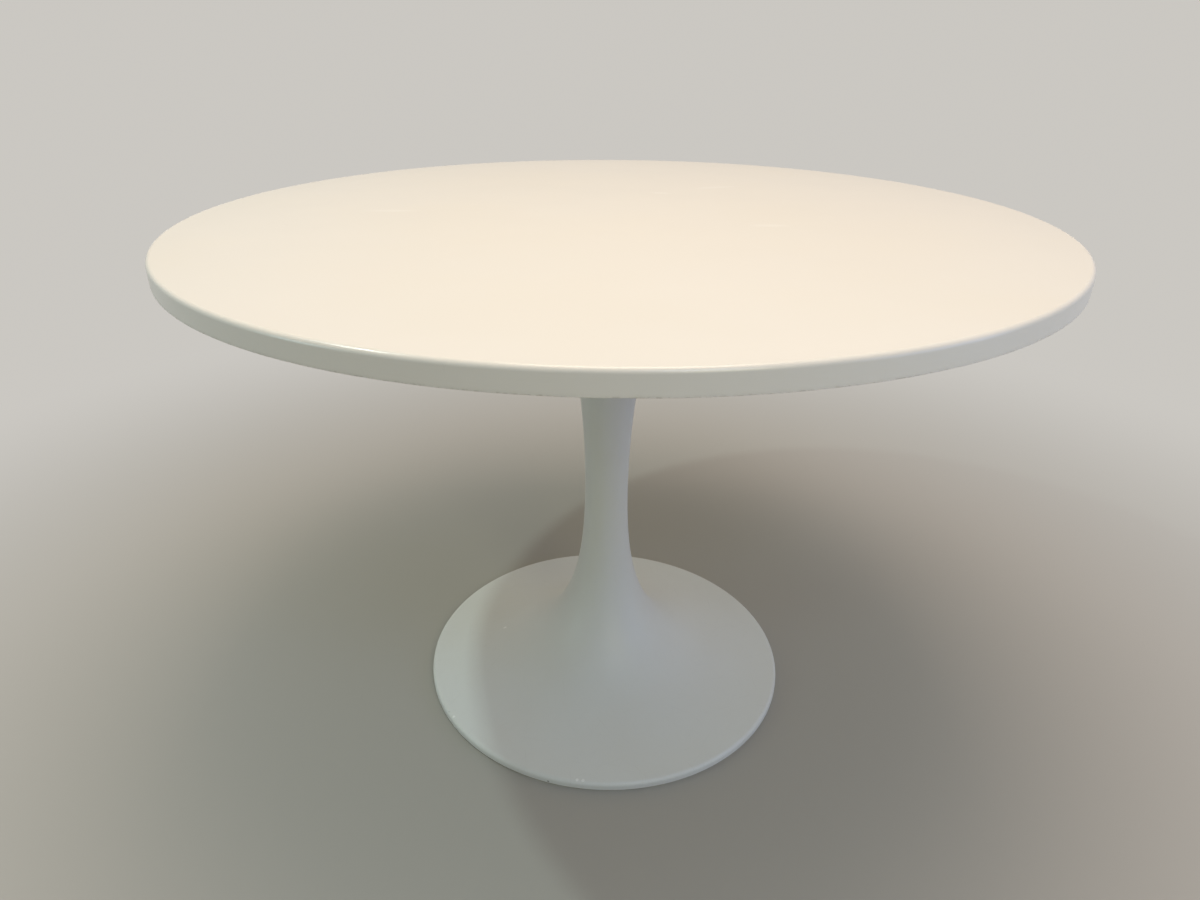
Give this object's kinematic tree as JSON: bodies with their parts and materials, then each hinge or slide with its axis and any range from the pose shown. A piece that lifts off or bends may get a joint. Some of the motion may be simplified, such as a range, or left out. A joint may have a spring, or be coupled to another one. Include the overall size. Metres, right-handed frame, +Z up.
{
  "type": "round pedestal table",
  "caption": "Round white table whose slim moulded top stands on a one-piece trumpet pedestal with a wide round foot and screw-adjusted levelling feet.",
  "frame": {"origin": "on the floor under the middle of the table", "axes": "+Z up along the axis of the pedestal, +X to the right and +Y away from the picture's viewpoint"},
  "size_m": [1.0999, 1.1, 0.73],
  "materials": {
    "white_skin": "semi-gloss warm white, lightly scuffed",
    "core_board": "pressed board",
    "backing_sheet": "matt balancing sheet",
    "white_enamel": "satin white enamel on cast iron",
    "black_steel": "black painted plate",
    "plated_steel": "zinc plated",
    "gasket_rubber": "matt black rubber",
    "pad_plastic": "black nylon"
  },
  "bodies": {
    "table": {"top_skin": "white_skin", "top_core": "core_board", "top_backing": "backing_sheet", "mounting_plate": "plated_steel", "mounting_hub": "plated_steel", "mounting_screws": "plated_steel", "column_gasket": "gasket_rubber", "pedestal": "white_enamel", "tie_rod": "plated_steel", "rod_washer": "plated_steel", "rod_spring_washer": "plated_steel", "rod_nut": "plated_steel", "base_plate": "black_steel", "base_screws": "plated_steel"},
    "foot_pad_1": {"foot_pad_1": "pad_plastic"},
    "foot_stem_1": {"foot_stem_1": "plated_steel"},
    "foot_pad_2": {"foot_pad_2": "pad_plastic"},
    "foot_stem_2": {"foot_stem_2": "plated_steel"},
    "foot_pad_3": {"foot_pad_3": "pad_plastic"},
    "foot_stem_3": {"foot_stem_3": "plated_steel"},
    "foot_pad_4": {"foot_pad_4": "pad_plastic"},
    "foot_stem_4": {"foot_stem_4": "plated_steel"},
    "foot_pad_5": {"foot_pad_5": "pad_plastic"},
    "foot_stem_5": {"foot_stem_5": "plated_steel"},
    "foot_pad_6": {"foot_pad_6": "pad_plastic"},
    "foot_stem_6": {"foot_stem_6": "plated_steel"}
  },
  "joints": [
    {"name": "foot_1_height", "type": "slide", "parent": "table", "child": "foot_pad_1", "axis": [0, 0, -1], "range_m": [0, 0.005]},
    {"name": "foot_1_screw", "type": "hinge", "parent": "foot_pad_1", "child": "foot_stem_1", "pos_m": [0.20986, 0, 0.006], "axis": [0, 0, -1], "range_deg": [0, 1440]},
    {"name": "foot_2_height", "type": "slide", "parent": "table", "child": "foot_pad_2", "axis": [0, 0, -1], "range_m": [0, 0.005]},
    {"name": "foot_2_screw", "type": "hinge", "parent": "foot_pad_2", "child": "foot_stem_2", "pos_m": [0.10493, 0.18174, 0.006], "axis": [0, 0, -1], "range_deg": [0, 1440]},
    {"name": "foot_3_height", "type": "slide", "parent": "table", "child": "foot_pad_3", "axis": [0, 0, -1], "range_m": [0, 0.005]},
    {"name": "foot_3_screw", "type": "hinge", "parent": "foot_pad_3", "child": "foot_stem_3", "pos_m": [-0.10493, 0.18174, 0.006], "axis": [0, 0, -1], "range_deg": [0, 1440]},
    {"name": "foot_4_height", "type": "slide", "parent": "table", "child": "foot_pad_4", "axis": [0, 0, -1], "range_m": [0, 0.005]},
    {"name": "foot_4_screw", "type": "hinge", "parent": "foot_pad_4", "child": "foot_stem_4", "pos_m": [-0.20986, 0, 0.006], "axis": [0, 0, -1], "range_deg": [0, 1440]},
    {"name": "foot_5_height", "type": "slide", "parent": "table", "child": "foot_pad_5", "axis": [0, 0, -1], "range_m": [0, 0.005]},
    {"name": "foot_5_screw", "type": "hinge", "parent": "foot_pad_5", "child": "foot_stem_5", "pos_m": [-0.10493, -0.18174, 0.006], "axis": [0, 0, -1], "range_deg": [0, 1440]},
    {"name": "foot_6_height", "type": "slide", "parent": "table", "child": "foot_pad_6", "axis": [0, 0, -1], "range_m": [0, 0.005]},
    {"name": "foot_6_screw", "type": "hinge", "parent": "foot_pad_6", "child": "foot_stem_6", "pos_m": [0.10493, -0.18174, 0.006], "axis": [0, 0, -1], "range_deg": [0, 1440]}
  ],
  "couplings": [
    {"joint": "foot_1_height", "follows": "foot_1_screw", "m_per_rad": 0.00019894},
    {"joint": "foot_2_height", "follows": "foot_2_screw", "m_per_rad": 0.00019894},
    {"joint": "foot_3_height", "follows": "foot_3_screw", "m_per_rad": 0.00019894},
    {"joint": "foot_4_height", "follows": "foot_4_screw", "m_per_rad": 0.00019894},
    {"joint": "foot_5_height", "follows": "foot_5_screw", "m_per_rad": 0.00019894},
    {"joint": "foot_6_height", "follows": "foot_6_screw", "m_per_rad": 0.00019894}
  ]
}
